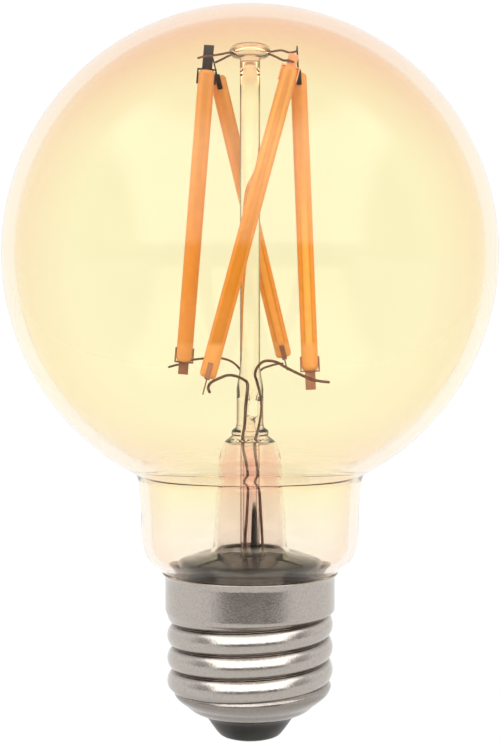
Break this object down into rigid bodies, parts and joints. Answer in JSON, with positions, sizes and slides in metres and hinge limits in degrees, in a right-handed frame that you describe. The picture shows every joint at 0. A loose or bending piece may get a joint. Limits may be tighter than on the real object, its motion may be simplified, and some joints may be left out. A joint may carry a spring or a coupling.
{
  "type": "smart light bulb",
  "caption": "Globe lamp in pale amber glass with long crossing filaments on a glass stem, a clear neck and an Edison screw cap that hides a wireless driver.",
  "frame": {"origin": "centre of the end contact's bottom face, on the lamp's axis", "axes": "+Z along the lamp's axis from the cap to the top of the globe, -Y toward the side seen in the picture, +X to its right"},
  "size_m": [0.078, 0.078, 0.1156],
  "materials": {
    "amber_glass": "thin clear glass with a pale amber tint",
    "clear_glass": "clear drawn glass",
    "support_wire": "dark oxidised spring wire",
    "lead_wire": "dark oxidised lead wire",
    "filament_coat": "translucent orange silicone loaded with phosphor",
    "filament_strip": "sintered strip",
    "filament_chip": "clear die faces",
    "filament_tab": "nickel-plated stamping",
    "cap_metal": "satin nickel-toned drawn sheet with fine grain",
    "black_glass": "glossy black vitreous insulator",
    "contact_metal": "tin-plated stamping",
    "solder": "dull solder",
    "cement": "baked capping cement",
    "plug_plastic": "dark grey moulded insulator",
    "sleeve_plastic": "moulded white liner",
    "circuit_board": "green solder-resist laminate",
    "capacitor_can": "sleeved can",
    "package_black": "moulded epoxy package",
    "ferrite": "sintered ferrite with enamelled winding",
    "module_board": "blue solder-resist laminate",
    "shield_can": "tinned sheet shield",
    "resistor_body": "lacquered ceramic body",
    "hook_wire": "insulated hook-up wire"
  },
  "bodies": {
    "root": {"bridge_rectifier": "package_black", "cap_cement": "cement", "cap_insulator": "black_glass", "cap_shell": "cap_metal", "centre_contact": "contact_metal", "centre_rod": "clear_glass", "contact_solder": "solder", "driver_board": "circuit_board", "driver_ic": "package_black", "driver_sleeve": "sleeve_plastic", "electrolytic_capacitor": "capacitor_can", "exhaust_tube": "clear_glass", "filament_1_bottom_tab": "filament_tab", "filament_1_chips": "filament_chip", "filament_1_coating": "filament_coat", "filament_1_strip": "filament_strip", "filament_1_top_tab": "filament_tab", "filament_2_bottom_tab": "filament_tab", "filament_2_chips": "filament_chip", "filament_2_coating": "filament_coat", "filament_2_strip": "filament_strip", "filament_2_top_tab": "filament_tab", "filament_3_bottom_tab": "filament_tab", "filament_3_chips": "filament_chip", "filament_3_coating": "filament_coat", "filament_3_strip": "filament_strip", "filament_3_top_tab": "filament_tab", "filament_4_bottom_tab": "filament_tab", "filament_4_chips": "filament_chip", "filament_4_coating": "filament_coat", "filament_4_strip": "filament_strip", "filament_4_top_tab": "filament_tab", "fuse_resistor": "resistor_body", "glass_globe": "amber_glass", "inductor": "ferrite", "insulating_plug": "plug_plastic", "lead_arm_left": "support_wire", "lead_arm_right": "support_wire", "lead_wire_left": "lead_wire", "lead_wire_right": "lead_wire", "live_wire": "hook_wire", "module_shield": "shield_can", "neutral_wire": "hook_wire", "rod_button": "clear_glass", "stem_flare": "clear_glass", "top_support_left": "support_wire", "top_support_right": "support_wire", "wireless_module": "module_board"}
  },
  "joints": []
}
